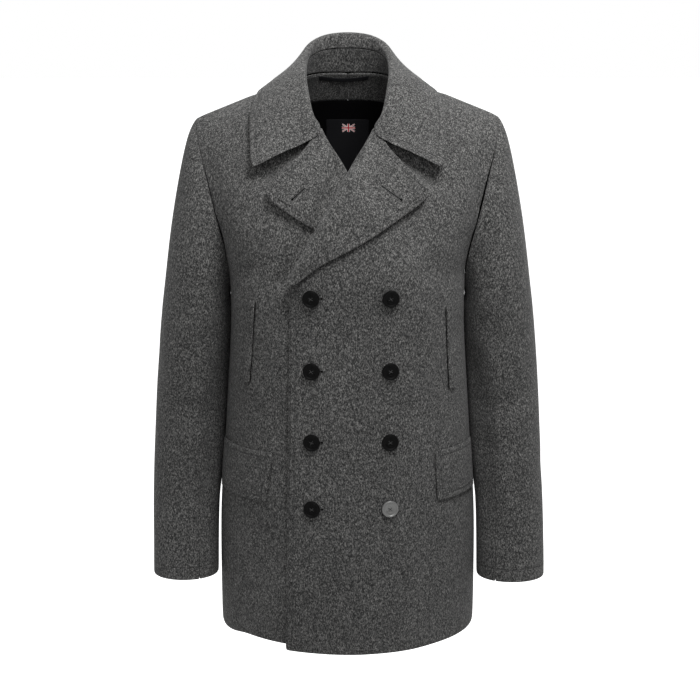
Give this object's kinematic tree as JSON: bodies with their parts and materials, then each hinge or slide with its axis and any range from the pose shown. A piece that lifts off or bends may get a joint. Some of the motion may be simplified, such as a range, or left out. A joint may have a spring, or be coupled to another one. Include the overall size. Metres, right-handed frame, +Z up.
{
  "type": "pea coat",
  "caption": "Hip-length double-breasted wool coat, hollow and filled out as worn, with a broad fold-over collar, wide lapels, set-in sleeves, upright chest pockets and flapped hip pockets",
  "frame": {"origin": "midway between the two shoulder seams, level with their points 120 mm out from the middle, where the coat hangs on a wearer's shoulders", "axes": "+Z up, -Y the front of the coat, +X the wearer's left"},
  "size_m": [0.569, 0.3047, 0.8452],
  "materials": {
    "wool": "grey melange wool melton, matt with a short nap",
    "lining": "black satin lining with a soft sheen",
    "label": "woven black label, matt",
    "black_button": "black moulded plastic, half gloss",
    "pewter_button": "pewter-coloured plated plastic, satin"
  },
  "bodies": {
    "root": {"front_left": "wool", "front_right": "wool", "back_left": "wool", "back_right": "wool", "top_sleeve_left": "wool", "top_sleeve_right": "wool", "under_sleeve_left": "wool", "under_sleeve_right": "wool", "lapel_left": "wool", "lapel_right": "wool", "collar_fall": "wool", "collar_stand": "wool", "hip_flap_left": "wool", "hip_flap_right": "wool", "chest_welt_left": "wool", "chest_welt_right": "wool", "neck_facing": "wool", "back_lining": "lining", "neck_label": "label", "hanger_loop": "lining", "button_1": "black_button", "button_2": "black_button", "button_3": "black_button", "button_4": "black_button", "button_5": "black_button", "button_6": "black_button", "button_7": "black_button", "button_8": "pewter_button"}
  },
  "joints": []
}
